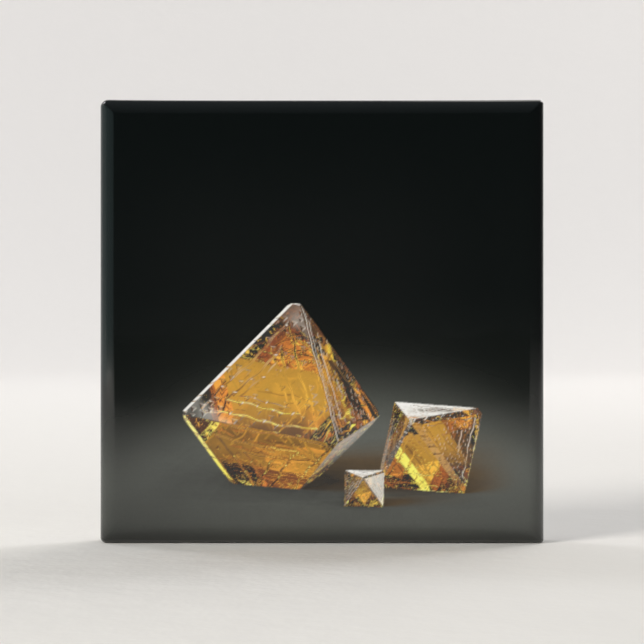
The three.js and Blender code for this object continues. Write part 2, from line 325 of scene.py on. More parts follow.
def turned(x, y, z):
    # the matrix that turns about the x axis, then y, then z, by these degrees
    a, b, c = np.radians((x, y, z))
    rx = np.array([[1, 0, 0], [0, np.cos(a), -np.sin(a)], [0, np.sin(a), np.cos(a)]])
    ry = np.array([[np.cos(b), 0, np.sin(b)], [0, 1, 0], [-np.sin(b), 0, np.cos(b)]])
    rz = np.array([[np.cos(c), -np.sin(c), 0], [np.sin(c), np.cos(c), 0], [0, 0, 1]])
    return rz @ ry @ rx


def lying(spin):
    # the turn that brings the octahedron's (1, 1, 1) face down on the ground
    face = unit([1.0, 1, 1])
    axis = np.cross(face, [0, 0, -1])
    skew = np.array([[0, -axis[2], axis[1]], [axis[2], 0, -axis[0]], [-axis[1], axis[0], 0]])
    return turned(0, 0, spin) @ (np.eye(3) + skew + skew @ skew / (1 - face[2]))


# A crystal's planes lie at these shares of its reach, each off by a random share. The growth
# steps on the blunting planes run across the lie.
habit = Values(
    faceOff=(-0.07, 0.05), edge=0.97, edgeOff=(-0.05, 0.04), tip=0.95, tipOff=(-0.05, 0.04),
    lie=(0.31, 0.52, 0.80),
)


def makeCrystal(place, reach, turn, seed, stretch=(1, 1, 1), foot=None, deep=1.0):
    # A crystal is the space behind its planes: 8 octahedron faces, 12 planes that blunt the
    # edges and 6 that blunt the tips, each with a normal and a distance from the middle.
    chance = np.random.default_rng(seed)
    ends = (-1, 1)
    corners = np.array([[i, j, k] for i in ends for j in ends for k in ends]) / math.sqrt(3)
    edges = np.array([v for i in ends for j in ends for v in ((i, j, 0), (i, 0, j), (0, i, j))])
    tips = np.r_[np.eye(3), -np.eye(3)]
    normals = np.r_[corners, edges / math.sqrt(2), tips]
    distances = np.r_[
        (1 + chance.uniform(*habit.faceOff, len(corners))) / math.sqrt(3),
        (habit.edge + chance.uniform(*habit.edgeOff, len(edges))) / math.sqrt(2),
        habit.tip * (1 + chance.uniform(*habit.tipOff, len(tips))),
    ]
    normals = normals / stretch
    length = np.linalg.norm(normals, axis=1)
    distances = distances / length * reach
    normals = normals / length[:, None] @ turn.T
    lies = np.tile([habit.lie], (len(edges) + len(tips), 1))
    toward = np.r_[corners * [1, 0, 0], lies] @ turn.T
    if foot is None:
        height = distances[normals[:, 2].argmin()]
    else:
        height = foot * reach
        normals = np.r_[normals, [[0, 0, -1]]]
        distances = np.append(distances, height)
        toward = np.r_[toward, [[1, 0, 0]]]
    across = -unit(toward - normals * (toward * normals).sum(1)[:, None])
    return Values(
        normals=normals, distances=distances, centre=np.array([*place, height]),
        across=across, along=np.cross(normals, across), reach=reach, seed=seed, tint=amber * deep,
    )


def crossing(start, way, crystal):
    # a ray meets each plane at (distance - n.start) / n.way: it is inside from the last plane
    # that it enters to the first that it leaves
    slope = way @ crystal.normals.T
    gap = crystal.distances - (start - crystal.centre) @ crystal.normals.T
    t = gap / slope
    enter = np.where(slope < 0, t, -np.inf)
    leave = np.where(slope > 0, t, np.inf)
    return enter.max(1), enter.argmax(1), leave.min(1), leave.argmin(1)


def swell(points, seed, size, count=5):
    # slope of a sum of cosines along random directions
    chance = np.random.default_rng(seed)
    slope = np.zeros_like(points)
    for _ in range(count):
        way = unit(chance.normal(size=3))
        wave = points @ way * (2 * np.pi / size) * chance.uniform(0.6, 1.6)
        slope += np.cos(wave + chance.uniform(0, 6.28))[:, None] * way
    return slope / math.sqrt(count)


# Sizes are shares of the crystal's reach, or of a pit's cell. A ripple has its height, its
# waves and how far the face's and the side's number shift it; a swell its seed, size and share.
growth = Values(
    step=0.055, stepWidth=0.13, cell=0.075, pitStray=0.2, pitDepth=0.9, pitLeast=0.06, pitMore=0.13,
    pitRim=0.05, pitShare=0.5, ripples=((0.012, 9, 1.3, 1), (0.006, 31, 1, 2)),
    swells=((5, 0.9, 1), (9, 0.3, 0.5)),
)


def grownFace(points, face, crystal, height, rough):
    # the surface normal with nested three-sided growth steps, small etch pits and a faint swell
    g = growth
    normal = crystal.normals[face]
    local = points - crystal.centre
    across, along = crystal.across[face], crystal.along[face]
    a = (local * across).sum(1)
    b = (local * along).sum(1)
    reach = crystal.reach
    outmost = np.full(len(a), -np.inf)
    way = np.zeros_like(normal)
    cell = reach * g.cell
    cellA, cellB = np.floor(a / cell), np.floor(b / cell)
    pick = np.sin(cellA * 12.99 + cellB * 78.23 + face * 37.7) * 437.58  # scrambles a cell's numbers
    pick = pick - np.floor(pick)
    shift = g.pitStray * np.sin(pick * 91.7 + cellA)
    pitA, pitB = a / cell - cellA - 0.5 - shift, b / cell - cellB - 0.5 + 0.8 * shift
    rim = np.full(len(a), -np.inf)
    rimWay = np.zeros_like(normal)
    for k in range(3):
        angle = 2 * np.pi * k / 3
        cos, sin = math.cos(angle), math.sin(angle)
        side = cos * across + sin * along
        r = -a * sin + b * cos
        s = a * cos + b * sin
        for high, waves, byFace, bySide in g.ripples:
            s = s + reach * high * np.sin(r / reach * waves + face * byFace + bySide * k)
        way = np.where((s > outmost)[:, None], side, way)
        outmost = np.maximum(s, outmost)
        pit = -(pitA * cos + pitB * sin)
        rimWay = np.where((pit > rim)[:, None], -side, rimWay)
        rim = np.maximum(pit, rim)
    s = outmost / (reach * g.step) + face * 0.37
    row = np.floor(s)
    size = np.clip(np.sin(row * 2.4 + face * 1.7) * 1.6 + 0.2, 0, 1)  # uneven steps, some missing
    slope = way * (np.exp(-((s - row - 0.5) / g.stepWidth) ** 2) * size)[:, None]
    wall = np.exp(-((rim - g.pitLeast - g.pitMore * pick) / g.pitRim) ** 2)
    slope -= rimWay * (g.pitDepth * wall * (pick > g.pitShare))[:, None]
    bent = np.zeros_like(normal)
    for seed, size, share in g.swells:
        bent += swell(local, crystal.seed + seed, reach * size) * rough * share
    bent -= normal * (bent * normal).sum(1)[:, None]
    return unit(normal + height * slope + bent)


# The picture's own studio. A lamp has its direction, the cosine of its rim, the rim's softness
# and its brightness. The sky brightens upwards, and the lit ground fades with distance.
keyWay = unit([-0.80, -0.30, 0.50])
pictureLamps = [
    (keyWay, 0.90, 0.07, 5.0),
    (unit([-0.20, 0.74, 0.64]), 0.88, 0.08, 8.0),
    (unit([0.86, 0.40, 0.30]), 0.93, 0.05, 3.0),
    (unit([-0.93, 0.10, 0.12]), 0.95, 0.04, 4.0),
    (unit([0.05, 0.35, 0.94]), 0.95, 0.05, 2.5),
    (unit([-0.15, -0.97, 0.25]), 0.98, 0.015, 2.0),
]
pictureRoom = Values(sky=0.08, ground=0.34, least=0.03, fadeOver=70, darkUnder=(2, 18), follow=0.8)


def studio(start, way):
    # what a ray that leaves a crystal sees: soft-rimmed lamps above, and the lit ground below
    r = pictureRoom
    above = r.sky + r.sky * np.clip(way[:, 2], 0, 1) ** 2
    for lamp, cosine, softness, power in pictureLamps:
        above = above + smooth(cosine - softness, cosine + softness, way @ lamp) * power
    down = way[:, 2] < -1e-3
    t = np.where(down, -start[:, 2] / np.where(down, way[:, 2], -1), 0)
    away = start + way * t[:, None] - start * r.follow
    far = np.hypot(away[:, 0], away[:, 1])
    below = r.ground * np.exp(-(far / r.fadeOver) ** 2) * smooth(*r.darkUnder, far) + r.least
    return np.where(down, below, above)


def fresnel(cosine, ratio):
    # share reflected at a smooth face, and the cosine of the refracted ray
    sine2 = ratio * ratio * (1 - cosine ** 2)
    inner = np.sqrt(np.clip(1 - sine2, 0, 1))
    s = (ratio * cosine - inner) / (ratio * cosine + inner + 1e-9)
    p = (cosine - ratio * inner) / (cosine + ratio * inner + 1e-9)
    return np.where(sine2 >= 1, 1.0, 0.5 * (s ** 2 + p ** 2)), inner


def lightThrough(start, way, crystal):
    # Each ray reflects once outside, then is followed inside: at each face a part leaves to the
    # studio and the rest reflects, dimmed by exp(-tint * path).
    colour = np.zeros((len(start), 3))
    near, face, far, _ = crossing(start, way, crystal)
    found = near < far
    index = np.where(found)[0]
    ior = picture.ior
    d = way[index]
    p = start[index] + d * near[index, None]
    m = grownFace(p, face[index], crystal, *picture.outside)
    cosine = np.clip(-(d * m).sum(1), 0.05, 1)
    share, inner = fresnel(cosine, 1 / ior)
    mirrored = studio(p, unit(d + 2 * cosine[:, None] * m))
    light = (picture.surfaceGloss * mirrored * share)[:, None] * picture.glossTint
    inside = unit(d / ior + (cosine / ior - inner)[:, None] * m)
    weight = (1 - share)[:, None]
    high, rough = picture.inside
    for bounce in range(picture.bounces):
        _, _, t, hit = crossing(p, inside, crystal)
        t = np.clip(t, 1e-4, picture.longest)
        p = p + inside * t[:, None]
        weight = weight * np.exp(-crystal.tint * t[:, None])
        fade = 1.0 if bounce == 0 else picture.laterRelief
        m = grownFace(p, hit, crystal, high * fade, rough * fade)
        cosine = np.clip((inside * m).sum(1), 0.02, 1)
        share, outer = fresnel(cosine, ior)
        leaves = unit(inside * ior + (outer - cosine * ior)[:, None] * m)
        light += (studio(p, leaves) * (1 - share))[:, None] * weight
        weight = weight * share[:, None]
        flat = crystal.normals[hit]
        inside = inside - 2 * (inside * m).sum(1)[:, None] * m
        over = (inside * flat).sum(1) + picture.leastTurnBack
        inside = unit(inside - np.clip(over, 0, None)[:, None] * flat)
        p = p - flat * 1e-3  # off the face, so that the next crossing is another one
    colour[index] = light
    return found, colour, near


crystals = [
    makeCrystal((-4.6, 0.0), 14.2, turned(4, 6, 28), 3, (0.95, 1.0, 1.0), foot=0.52),
    makeCrystal((12.2, -3.0), 7.8, lying(25), 8, deep=1.7),
    makeCrystal((4.8, -13.5), 3.3, lying(42), 12, deep=3.4),
]

# Pairs say from where to where a change runs, and each Dim is the share of light that it takes.
ground = Values(
    top="#050a09", middle="#111413", low="#5f625d",
    middleRise=(24, 4), middleAt=-3, middleSides=(8, 23), middleDim=0.6,
    poolAt=2.3, poolBend=0.0111, poolRise=(1, -13.2), haze=0.07, hazeRise=(5, -9), steadyPast=-22.5,
    left=(-3, -27), leftDim=0.5, right=(12, 30), rightDim=0.28,
    # The edge pair paints shade on the print over the bottom roll, where the sheet turns down away from the
    # light.
    front=(-15, -23), frontDim=0.3, edge=(-22.4, -25.4), paintedRollShadeDim=0.6,
)


def groundColour(u, v):
    # A dark backdrop, a little lighter in its middle, that melts into a ground with a wide pool
    # of light. The pool's upper edge is a parabola round u = poolAt, and the pool dims towards
    # the sides and the front. Over the bottom roll the whole print is darkened further: painted
    # shade, where the sheet turns down away from the light.
    g = ground
    top, low = linear(g.top), linear(g.low)
    aside = smooth(*g.middleSides, np.abs(u - g.middleAt))
    middle = smooth(*g.middleRise, v) * (1 - g.middleDim * aside)
    c = top + (linear(g.middle) - top) * middle[:, None]
    u = np.maximum(u, g.steadyPast)
    bent = v + g.poolBend * (u - g.poolAt) ** 2
    pool = (1 - g.haze) * smooth(*g.poolRise, bent) ** 2 + g.haze * smooth(*g.hazeRise, v)
    pool = pool * (1 - g.leftDim * smooth(*g.left, u) - g.rightDim * smooth(*g.right, u))
    c = c + (low - c) * pool[:, None]
    # the edge term is painted shade over the bottom roll
    dim = (1 - g.frontDim * smooth(*g.front, v)) * (1 - g.paintedRollShadeDim * smooth(*g.edge, v))
    return c * dim[:, None]


def viewRays(u, v):
    # where the picture's parallel rays start: on the sheet as the eye sees it, far in front
    height = (v - picture.horizon)[:, None]
    return np.c_[u, 0 * u, 0 * u] + height * upward - picture.away * look


def covered(points, way):
    # true where a ray from the point meets any crystal ahead of it
    block = np.zeros(len(points), bool)
    for crystal in crystals:
        near, _, far, _ = crossing(points, np.broadcast_to(way, points.shape), crystal)
        block |= (near < far) & (far > 0)
    return block


shade = Values(
    below=(-6, -12), within=(23, 16), lampHalf=0.22, lampSteps=5, key=0.78, sky=0.85,
    skyTurns=8, skyHeights=(0.3, 0.65, 1.1), glow=0.16, glowColour=(0.5, 0.24, 0.015),
)


def groundWithShadows(u, v):
    # the share of a square lamp and of the sky that the crystals hide from each ground point,
    # and a little amber light that comes through them into the shadow
    h = shade
    start = viewRays(u, v)
    colour = groundColour(u, v)
    lit = (v < h.below[0]) & (np.abs(u) < h.within[0])
    points = (start - look * (start[:, 2] / look[2])[:, None])[lit]
    side = h.lampHalf * unit(np.cross(keyWay, [0, 0, 1]))
    other = np.cross(keyWay, side)
    steps = np.linspace(-1, 1, h.lampSteps)
    lamp = [unit(keyWay + i * side + j * other) for i in steps for j in steps]
    turns = np.arange(h.skyTurns) * 2 * np.pi / h.skyTurns + 0.2
    sky = [(np.cos(a) * np.cos(e), np.sin(a) * np.cos(e), np.sin(e)) for a in turns for e in h.skyHeights]
    fade = smooth(*h.below, v[lit]) * smooth(*h.within, np.abs(u[lit]))
    shadow, hidden = [np.mean([covered(points, way) for way in ways], 0) * fade for ways in (lamp, sky)]
    glow = (h.glow * shadow * (1 - hidden))[:, None] * h.glowColour
    colour[lit] = colour[lit] * ((1 - h.key * shadow) * (1 - h.sky * hidden))[:, None] + glow
    return colour


def printedColour(u, v, spacing):
    # The ground once for each point, and the crystals as the mean of a square of rays. Light
    # prints as 1 - exp(-exposure * light).
    colour = groundWithShadows(u, v)
    total = np.zeros_like(colour)
    seen = np.zeros(len(u))
    rays = picture.rays
    steps = (np.arange(rays) - (rays - 1) / 2) * spacing / rays
    for du, dv in [(du, dv) for du in steps for dv in steps]:
        nearest = np.full(len(u), np.inf)
        one = np.zeros_like(colour)
        start = viewRays(u + du, v + dv)
        for crystal in crystals:
            middle = crystal.centre
            away = np.hypot(u - middle[0], v - picture.horizon - middle @ upward)
            ask = np.where(away < 1.05 * crystal.reach)[0]
            found, light, near = lightThrough(start[ask], np.broadcast_to(look, (len(ask), 3)), crystal)
            front = found & (near < nearest[ask])
            one[ask[front]] = 1 - np.exp(-picture.exposure * light[front] @ inkMix)
            nearest[ask[front]] = near[front]
        total += one
        seen += np.isfinite(nearest)
    return total / rays ** 2 + colour * (1 - seen / rays ** 2)[:, None]


# The badge's cover: the printed paper and the clear film over it, drawn tight over the shell,
# rolled round its edge and tucked in behind the back plate. Depths are y, and insets are
# measured from the widest outline. Corners and hollows go round by quarters, see squareRing.
cover = Values(
    half=25.4, faceY=-5.0, corners=(0.5, 0.9, 0.65, 0.38), leastCorner=0.3,
    faceCorner=0.12, faceCornerOver=(0.7, 1.68), hollow=(0.0, 0.08, 0.0, 0.0), hollowPower=4,
    roll=1.68, rollWide=2.0, curl=1.28, curlStart=-1.2194, curlAngle=50, endInset=0.7015, endY=-0.53,
    outer=0.38, inner=0.17, tuck=-2.6, flatInset=2.3, insideFrom=6.0,
    rollSteps=19, sideSteps=44, cornerSteps=14,
    fineU=(-17.4, 20.0), fineV=(-21.6, 2.2), fine=0.115, coarse=0.8, gridGap=0.2,
    pleat=0.03, pleatPitch=6.0 / 7, pleatReach=1.6, pleatOver=(-1.4, -0.8), white=0.92,
)


def squareRing(inset, corner, sideSteps, cornerSteps):
    # Points round a square with rounded corners, for whole arrays of insets and corner radii
    # (one radius a ring, or four in the order right top, left top, left bottom, right bottom).
    # A side (right, top, left, bottom) runs u from -1 to 1 and draws in by its hollow times
    # (1 - u^power). A corner is a quarter circle. The four quarters are turned by 90 degrees.
    x = np.linspace(-1, 1, sideSteps + 1)[1:-1]
    u = np.sin(x * np.pi / 2) * 0.55 + x * 0.45  # closer together towards the corners
    a = np.linspace(0, np.pi / 2, cornerSteps + 1)
    rings = len(inset)
    half = (cover.half - inset)[:, None, None]
    corner = np.broadcast_to(corner.reshape(rings, -1), (rings, 4))[:, :, None]
    straight = half - corner
    before = np.roll(straight, 1, axis=1)
    hollow = np.array(cover.hollow)[:, None] * (1 - u ** cover.hollowPower)
    px = np.concatenate([half - hollow, straight + corner * np.cos(a)], 2)
    pz = np.concatenate([straight * (1 + u) / 2 - before * (1 - u) / 2, straight + corner * np.sin(a)], 2)
    turns = np.arange(4) * np.pi / 2
    cos, sin = np.cos(turns)[:, None], np.sin(turns)[:, None]
    return (px * cos - pz * sin).reshape(rings, -1), (px * sin + pz * cos).reshape(rings, -1)


def bend(centre, radius, start, stop, steps):
    # points of an arc in the plane of inset and y, angles in degrees
    a = np.radians(np.linspace(start, stop, steps + 1))
    return np.c_[centre[0] + radius * np.cos(a), centre[1] + radius * np.sin(a)]


def coverProfile():
    # (inset, y) in three stretches: from the face out round the roll, a quarter of an ellipse,
    # and down the wall; round the curl and the end of the shell, in to the end of the tuck;
    # and back along the inside of the sheets. All curves but the roll are arcs.
    c = cover
    rollAt = (c.roll, c.faceY + c.roll)
    curlAt = (c.curl, c.curlStart)
    endAt = (c.endInset, c.endY)
    rear = 180 - c.curlAngle
    ellipse = (c.rollWide, c.roll) * bend((0, 0), 1, 270, 180, c.rollSteps)
    wall = np.linspace(rollAt[1], c.curlStart, 4)[1:-1]
    front = [
        [[c.flatInset, c.faceY]],
        [c.rollWide, rollAt[1]] + ellipse,
        np.c_[0 * wall, wall],
    ]
    wrapped = [
        bend(curlAt, c.curl, 180, rear, 8),
        bend(endAt, c.outer, rear, rear - 180, 10)[1:],
        bend(curlAt, c.curl - 2 * c.outer, rear, 180, 4)[1:],
        [[2 * c.outer, c.tuck]],
    ]
    gap = c.outer - c.inner
    inside = [
        [[2 * c.outer - gap, c.tuck]],
        bend(curlAt, c.curl - c.outer - c.inner, 180, rear, 4),
        bend(endAt, c.inner, rear - 180, rear, 6)[1:],
        bend(curlAt, c.curl - gap, rear, 180, 4)[1:],
        bend(rollAt, c.roll - gap, 180, 270, 6),
        [[c.insideFrom, c.faceY + gap]],
    ]
    return np.concatenate(front), np.concatenate(wrapped), np.concatenate(inside)


def pleated(ringX, ringZ, y):
    # Small pleats where the sheets gather round the rear corners, on the curl and the end only:
    # a cosine along the ring that dies away from the diagonal as exp(-(distance / reach)^2).
    c = cover
    wide = np.maximum(np.abs(ringX), np.abs(ringZ))
    along = np.abs(np.abs(ringX) - np.abs(ringZ))
    ripple = c.pleat * np.cos(along * 2 * np.pi / c.pleatPitch)
    ripple = ripple * np.exp(-(along / c.pleatReach) ** 2) * smooth(*c.pleatOver, y)[:, None]
    scale = 1 - ripple / wide
    return np.clip(ringX * scale, -c.half, c.half), np.clip(ringZ * scale, -c.half, c.half)


def faceLines(edge, low, high):
    # places across the face: fine from low to high, where the picture has detail, else coarse
    c = cover
    return np.r_[
        np.linspace(-edge, low, int((low + edge) / c.coarse) + 1)[:-1],
        np.linspace(low, high, int((high - low) / c.fine) + 1),
        np.linspace(high, edge, int((edge - high) / c.coarse) + 1)[1:],
    ]


def byAngle(loop, points):
    # a loop's point numbers from the +X axis on, with the angle half way to each next point
    p = points[loop]
    turn = np.arctan2(p[:, 2], p[:, 0]) % (2 * np.pi)
    first = -turn.argmin()
    turn = np.roll(turn, first)
    return np.roll(loop, first), (turn + np.append(turn[1:], turn[0] + 2 * np.pi)) / 2


def stitched(border, ring, points):
    # Two loops joined by triangles: each step goes to the other's next point in order of angle.
    border, borderMid = byAngle(border, points)
    ring, ringMid = byAngle(ring, points)
    ringAtBorder = np.searchsorted(ringMid, borderMid) % len(ring)
    borderAtRing = np.searchsorted(borderMid, ringMid) % len(border)
    return np.r_[
        np.c_[border, np.roll(border, -1), ring[ringAtBorder]],
        np.c_[ring, border[borderAtRing], np.roll(ring, -1)],
    ]


def makeCover():
    # A fine flat grid for the face, rings that follow the profile, and a strip that joins them.
    c = cover
    front, wrapped, inside = coverProfile()
    outside = np.r_[front, wrapped]
    profile = np.r_[outside, inside]
    inset, y = profile.T
    order = np.arange(len(profile))
    tight = c.leastCorner + (c.faceCorner - c.leastCorner) * smooth(*c.faceCornerOver, inset)
    least = np.where(order < len(front), tight, c.leastCorner)
    corner = np.maximum(c.corners - inset[:, None], least[:, None])
    ringX, ringZ = squareRing(inset, corner, c.sideSteps, c.cornerSteps)
    columns = ringX.shape[1]
    ringX, ringZ = pleated(ringX, ringZ, np.where(order < len(outside), y, c.faceY))
    ringY = np.broadcast_to(y[:, None], ringX.shape)

    edge = c.half - c.flatInset - c.gridGap
    faceZ, faceX = np.meshgrid(faceLines(edge, *c.fineV), faceLines(edge, *c.fineU), indexing="ij")
    rows, across = faceX.shape
    facePoints = np.stack([faceX, np.full_like(faceX, c.faceY), faceZ], -1).reshape(-1, 3)
    ringPoints = np.stack([ringX, ringY, ringZ], -1).reshape(-1, 3)
    points = np.r_[facePoints, ringPoints]

    start = len(facePoints)
    number = np.arange(start).reshape(rows, across)
    border = np.r_[number[0, :-1], number[:-1, -1], number[-1, :0:-1], number[:0:-1, 0]]
    strip = stitched(border, start + np.arange(columns), points)
    last = start + (len(profile) - 1) * columns + np.arange(columns)
    faces = gridFaces(rows, across) + strip.tolist()
    faces += gridFaces(len(profile), columns, closed=True, start=start) + [last.tolist()]
    piece = putMesh("cover", points, faces)

    # How far each ring lies from the face's middle along the sheet: the picture goes on there.
    step = np.r_[0, np.hypot(*np.diff(outside, axis=0).T), 0 * inside[:, 0]]
    reach = c.half - c.flatInset + np.cumsum(step)[:, None]
    spread = reach / np.maximum(np.abs(ringX), np.abs(ringZ))
    u = np.r_[faceX.ravel(), (ringX * spread).ravel()]
    v = np.r_[faceZ.ravel(), (ringZ * spread).ravel()]
    colour = printedColour(u, v, c.fine) * c.white
    paint = np.c_[colour, np.ones(len(colour))].astype(np.float32)
    layer = piece.data.color_attributes.new("print", "FLOAT_COLOR", "POINT")
    layer.data.foreach_set("color", paint.ravel())
    return piece


# Offset-printed paper under polished PET film: ink colours with a faint paper mottle, seen
# through a smooth clear skin that gives sharp, weak reflections with a slight swim to them.
def printedPaperUnderFilm(tree, where):
    ink = node(tree, "ShaderNodeVertexColor", layer_name="print").outputs["Color"]
    mottle = remap(tree, noise(tree, where, 0.3, 2), (0, 1), (0.93, 1.07))  # clumps of paper fibre
    sway = relief(tree, noise(tree, where, 7, 1), 0.02)  # the film's tension
    grain = relief(tree, noise(tree, where, 0.6, 2), 0.0008, under=sway)  # and its own grain
    return {
        "Base Color": blended(tree, 1, ink, mottle, "MULTIPLY"),
        "Roughness": 0.55,
        "Specular IOR Level": 0.02,
        "Normal": grain,
        "Coat Weight": 1.0,
        "Coat Roughness": 0.06,
        "Coat IOR": 1.5,
        "Coat Normal": grain,
    }


coverFinish = newMaterial("printed_paper_under_polished_PET_film", printedPaperUnderFilm)
dress(makeCover(), "badge", "printed_paper", coverFinish, "film", "print_sheet")
print("cover is made")


# Rolled tin-plated steel, pressed: bright grey with a fine grain along the rolling direction,
# soft mottling where the tin has flowed, and the sway of a thin sheet.
def tinplate(tree, where):
    grain = drawnNoise(tree, where, 22, 0.4)
    flow = noise(tree, where, 5, 4)
    sag = relief(tree, noise(tree, where, 14, 1), 0.12)
    return {
        "Base Color": blended(tree, flow, rgba("#b9babb"), rgba("#d4d5d4")),
        "Roughness": remap(tree, calculated(tree, "ADD", grain, flow), (0.6, 1.4), (0.2, 0.42)),
        "Normal": relief(tree, grain, 0.005, 0.5, under=sag),
        "Metallic": 1,
    }


tinplateFinish = newMaterial("rolled_tinplate_pressed", tinplate)
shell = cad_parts["shell"]
shell.data.materials.clear()
shell.data.materials.append(tinplateFinish)

# The pressed back plate: a plain panel with a stiffening rib, a flat rim that lies on the
# cloth, and a rolled flange that holds the tucked sheets. Stretches give the places across it
# as from, to and how many, closest where the sheet bends.
backPlate = Values(
    thick=0.3, panelY=-1.05, rimY=-0.15, ribAt=6.6, ribFoot=0.8, ribTop=0.4, ribHeight=0.3,
    slopeIn=4.12, slopeOut=3.2215, roll=0.75, rollAt=2.0215, rollSteps=12, flangeEnd=-2.4,
    corner=1.0, cornerGrowth=0.45, flangeInset=0.76, sideSteps=24, cornerSteps=14,
    stretches=((9.0, 7.6, 5), (7.5, 5.6, 26), (5.4, 4.3, 5), (4.2, 3.1, 16), (3.0, 2.0215, 5)),
)


def makeBackPlate():
    # The middle line's height is panel + rib + slope as smooth steps of the inset, then a
    # quarter circle and a straight flange. The two skins lie half a thickness to either side.
    b = backPlate
    inset = np.concatenate([np.linspace(*stretch) for stretch in b.stretches])
    rib = 1 - smooth(b.ribTop, b.ribFoot, np.abs(inset - b.ribAt))
    slope = 1 - smooth(b.slopeOut, b.slopeIn, inset)
    y = b.panelY + b.ribHeight * rib + (b.rimY - b.panelY) * slope
    roll = bend((b.rollAt, b.rimY - b.roll), b.roll, 90, 180, b.rollSteps)[1:]
    flange = [[b.rollAt - b.roll, b.flangeEnd]]
    line = np.r_[np.c_[inset, y], roll, flange]
    way = unit(np.gradient(line, axis=0))
    way[-1] = (0, -1)
    out = np.c_[way[:, 1], -way[:, 0]] * b.thick / 2
    profile = np.r_[line - out, (line + out)[::-1]]
    middle = np.r_[line, line[::-1]][:, 0]
    corner = b.corner + b.cornerGrowth * (middle - b.flangeInset)
    x, z = squareRing(profile[:, 0], corner, b.sideSteps, b.cornerSteps)
    points = np.stack([x, np.broadcast_to(profile[:, 1][:, None], x.shape), z], -1)
    numbers = np.arange(x.size).reshape(x.shape)
    faces = gridFaces(*x.shape, closed=True) + numbers[[0, -1]].tolist()
    return putMesh("back_plate_pressing", points, faces)


dress(makeBackPlate(), "badge", "back_tinplate", tinplateFinish, "back_plate")
print("back plate is made")


# Nickel-plated steel, barrel-polished: warmer and brighter than tin, with small soft dents
# from tumbling and slightly duller patches.
def nickel(tree, where, light, dark, rough, dent):
    patch = noise(tree, where, 1.8, 3)
    return {
        "Base Color": blended(tree, patch, rgba(dark), rgba(light)),
        "Roughness": remap(tree, patch, (0.3, 0.7), rough),
        "Normal": relief(tree, noise(tree, where, 0.5, 2), dent, 0.6),
        "Metallic": 1,
    }


tumbled = ("#cbc9c5", "#bab8b3", (0.20, 0.30), 0.003)
turnedNickel = ("#d0cecb", "#bfbdb9", (0.14, 0.22), 0.002)
nickelFinish = newMaterial("nickel_plated_steel_barrel_polished", nickel, *tumbled)
sleeveFinish = newMaterial("nickel_plated_steel_turned", nickel, *turnedNickel)

# The pin unit is made round the pin's own axis: x along the pin and y off the cloth side. The
# bar is plain from its middle to plainTo, then has a hole, a weld and a round end on each side.
pinUnit = Values(
    axisY=1.37, axisZ=7.0, barTop=-1.75, barThick=0.5, barHalf=16.0, barWide=2.5,
    plainTo=2.0, hole=0.8, holeTo=7.0, weld=0.62, weldTo=9.6, weldDepth=0.07,
    hingeX=12.6, earGap=0.6, earThick=0.5, earRound=1.45, earCrown=-0.2, earFoot=2.0, earHole=0.52,
    housing=(-12.8, -10.0), housingRadius=1.54, housingBore=1.06, slot=0.6,
    footHalf=1.25, footInBar=0.1, edge=0.07,
)


def slotted(radius, slot, steps):
    # angles from one side of a slot round to the other, starting at asin(slot / radius)
    start = np.arcsin(slot / radius)
    return start + (2 * np.pi - 2 * start) * np.linspace(0, 1, steps + 1)


def atPin(x, y, z):
    # from the pin unit's own axes to the badge's: a shift by the axis's y and z
    x, y, z = np.broadcast_arrays(x, y, z)
    return np.stack([x, y + pinUnit.axisY, z + pinUnit.axisZ], -1).reshape(-1, 3)


def makeBar():
    # The bar is a row of cells that share their border points. A plain cell is a grid. A cell
    # with a hole or a weld runs from a circle out to its border. Each end is a grid whose
    # length follows sqrt(r^2 - z^2).
    p = pinUnit
    across = p.barWide * np.sin(np.linspace(-1, 1, 17) * np.pi / 2)
    top = p.barTop
    points, faces = [], []

    def add(x, y, z, closed=False):
        # one grid of points and its quads, numbered on from the grids before it
        shape = np.broadcast(x, y, z).shape
        faces.extend(gridFaces(*shape, closed=closed, start=sum(map(len, points))))
        points.append(atPin(x, y, z))

    def cell(x0, x1, radius, depth=0.0):
        # Ring by ring from the circle to the border, in the border points' own directions. A
        # weld has no circle and sinks by depth * exp(-(distance / radius)^4).
        cx = (x0 + x1) / 2
        alongX = np.linspace(x0, x1, 9)
        up, right = np.ones(len(across) - 1), np.ones(len(alongX) - 1)
        bx = np.r_[x1 * up, alongX[:0:-1], x0 * up, alongX[:-1]] - cx
        bz = np.r_[across[:-1], across[-1] * right, across[:0:-1], across[0] * right]
        length = np.hypot(bx, bz)
        s = np.linspace(0, 1, 13)[:, None] ** 1.5
        inner = radius if depth == 0 else 0.0
        r = inner + (length - inner) * s
        x, z = cx + bx / length * r, bz / length * r
        y = top - depth * np.exp(-(np.hypot(x - cx, z) / radius) ** 4)
        add(x, y, z, closed=True)

    end = p.barHalf - p.barWide
    rounding = np.sqrt(np.maximum(p.barWide ** 2 - across ** 2, 0))
    s = np.linspace(0, 1, 7)[:, None]
    for sign in (-1, 1):
        add(sign * (end + s * rounding), top, across)
        add(sign * (end + s * (p.weldTo - end)), top, across)
        cell(*sorted((sign * p.holeTo, sign * p.weldTo)), p.weld, p.weldDepth)
        cell(*sorted((sign * p.plainTo, sign * p.holeTo)), p.hole)
    add(p.plainTo * (2 * s - 1), top, across)
    piece = putMesh("pin_bar_plate", np.concatenate(points), faces, merge=0.004)
    if piece.data.polygons[0].normal.y < 0:
        piece.data.flip_normals()
    wall = piece.modifiers.new("sheet", "SOLIDIFY")
    wall.thickness = p.barThick * mm
    wall.offset = -1
    return bevel(piece, p.edge)


